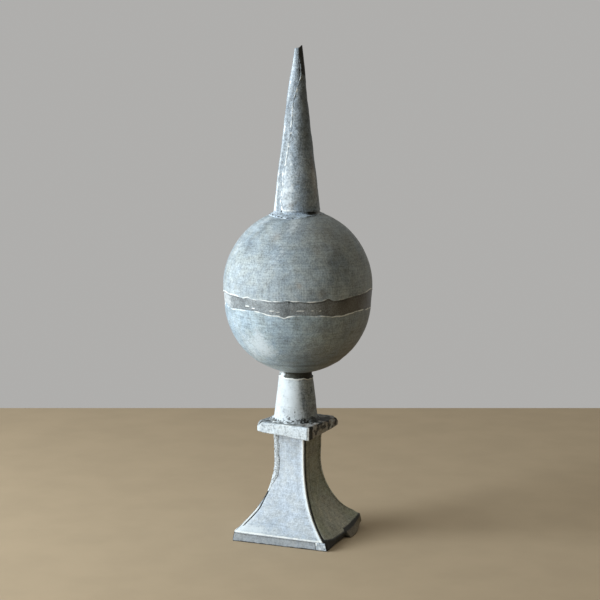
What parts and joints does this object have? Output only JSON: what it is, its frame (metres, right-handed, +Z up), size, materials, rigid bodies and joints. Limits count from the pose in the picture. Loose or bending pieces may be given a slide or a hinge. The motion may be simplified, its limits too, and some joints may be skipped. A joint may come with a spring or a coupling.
{
  "type": "roof finial",
  "caption": "Weathered sheet-zinc roof finial: flared square pedestal, cap plate, tapered neck, ball with a soldered joint round it, and a tall rolled spike.",
  "frame": {"origin": "on the ground under the middle of the ball, the bottom centre of the bounding box", "axes": "+Z up along the finial, the pedestal's front panel faces -Y and its damaged right panel faces +X"},
  "size_m": [0.15, 0.15, 0.4964],
  "materials": {
    "zinc_sheet": "weathered zinc sheet, matt blue-grey patina, mottled and streaked",
    "pale_zinc": "weathered zinc sheet with a chalky pale bloom",
    "solder": "dull dark grey solder, smooth, with bright scraped edges"
  },
  "bodies": {
    "root": {"pedestal_front": "zinc_sheet", "pedestal_right": "zinc_sheet", "pedestal_back": "zinc_sheet", "pedestal_left": "zinc_sheet", "cap_plate": "pale_zinc", "neck": "pale_zinc", "lower_dome": "zinc_sheet", "upper_dome": "zinc_sheet", "solder_band": "solder", "spike_ring": "solder", "spike": "zinc_sheet"}
  },
  "joints": []
}
